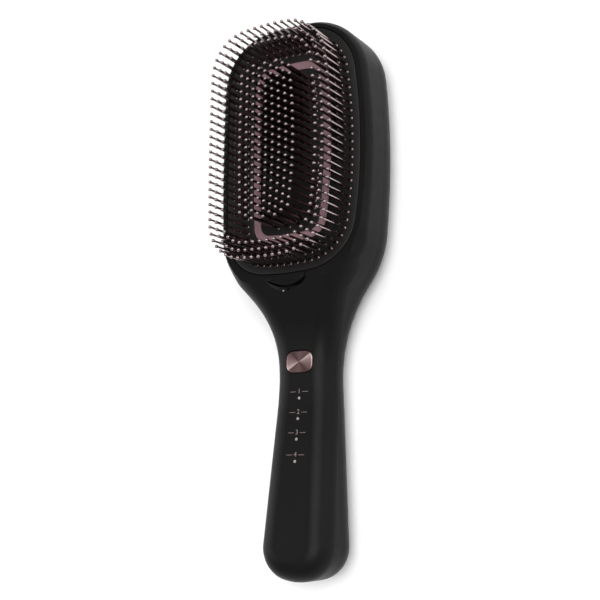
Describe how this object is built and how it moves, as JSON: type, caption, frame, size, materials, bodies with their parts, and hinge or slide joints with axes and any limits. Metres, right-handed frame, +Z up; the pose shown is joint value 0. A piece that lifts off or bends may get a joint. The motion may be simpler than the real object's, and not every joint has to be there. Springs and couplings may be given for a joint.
{
  "type": "scalp massager brush",
  "caption": "Cordless paddle-shaped scalp massager brush with a lift-off head of ball-tipped bristles, light ring, power key, release tab and vibration motor.",
  "frame": {"origin": "middle of the underside of the brush's box, with the brush lying on its back", "axes": "+Z up along the bristles, +Y from the grip towards the top of the head, +X to the right seen from the bristle side"},
  "size_m": [0.0726, 0.231, 0.0507],
  "materials": {
    "black_soft_touch": "fine matt soft-touch black",
    "black_face": "matt black moulding",
    "rose_metal_pin": "metal-coated rose bristles with polished ball tips",
    "mauve_diffuser": "satin mauve light spreader",
    "rose_gold_key": "radially brushed rose-gold anodising",
    "lamp_lens": "translucent warm white",
    "circuit_board": "green solder mask",
    "component_black": "moulded black",
    "steel": "bright steel",
    "nickel": "nickel plated",
    "tungsten_grey": "sintered heavy metal",
    "gold_contact": "gold plated",
    "battery_wrap": "grey foil wrap"
  },
  "bodies": {
    "handle": {"front_shell": "black_soft_touch", "back_cover": "black_soft_touch", "dock_plate": "black_face", "dock_screws": "steel", "dock_contacts": "gold_contact", "dock_magnets": "nickel", "latch_spring": "steel", "guide_pin": "steel", "tact_switch": "component_black", "main_board": "circuit_board", "board_parts": "component_black", "light_pipes": "lamp_lens", "status_leds": "lamp_lens", "motor_can": "steel", "motor_holder": "black_face", "battery": "battery_wrap", "battery_cradle": "black_face", "charging_socket": "steel", "socket_board": "circuit_board"},
    "bristle_head": {"face_plate": "black_face", "light_ring": "mauve_diffuser", "island_plate": "black_face", "pin_ring_1": "rose_metal_pin", "pin_ring_2": "rose_metal_pin", "pin_ring_3": "rose_metal_pin", "island_combs": "rose_metal_pin", "carrier_plate": "black_face", "lamp_board": "circuit_board", "treatment_leds": "lamp_lens", "module_base": "black_face", "module_screws": "steel", "contact_pads": "gold_contact", "module_magnets": "nickel"},
    "power_button": {"power_button": "rose_gold_key", "switch_plunger": "component_black"},
    "release_tab": {"release_tab": "black_soft_touch"},
    "motor_rotor": {"motor_shaft": "steel", "eccentric_weight": "tungsten_grey"}
  },
  "joints": [
    {"name": "bristle_head_lift", "type": "slide", "parent": "handle", "child": "bristle_head", "axis": [0, 0, 1], "range_m": [0, 0.03], "deforming": ["latch_spring"]},
    {"name": "power_button_press", "type": "slide", "parent": "handle", "child": "power_button", "axis": [0, 0, -1], "range_m": [0, 0.0005], "stiffness_N_per_m": 3000, "springref_m": -0.0004},
    {"name": "release_tab_slide", "type": "slide", "parent": "handle", "child": "release_tab", "axis": [0, -1, 0], "range_m": [0, 0.0008], "stiffness_N_per_m": 1200, "springref_m": -0.001},
    {"name": "motor_spin", "type": "hinge", "parent": "handle", "child": "motor_rotor", "pos_m": [0, 0.0635, 0.0089], "axis": [0, 1, 0], "continuous": true}
  ]
}
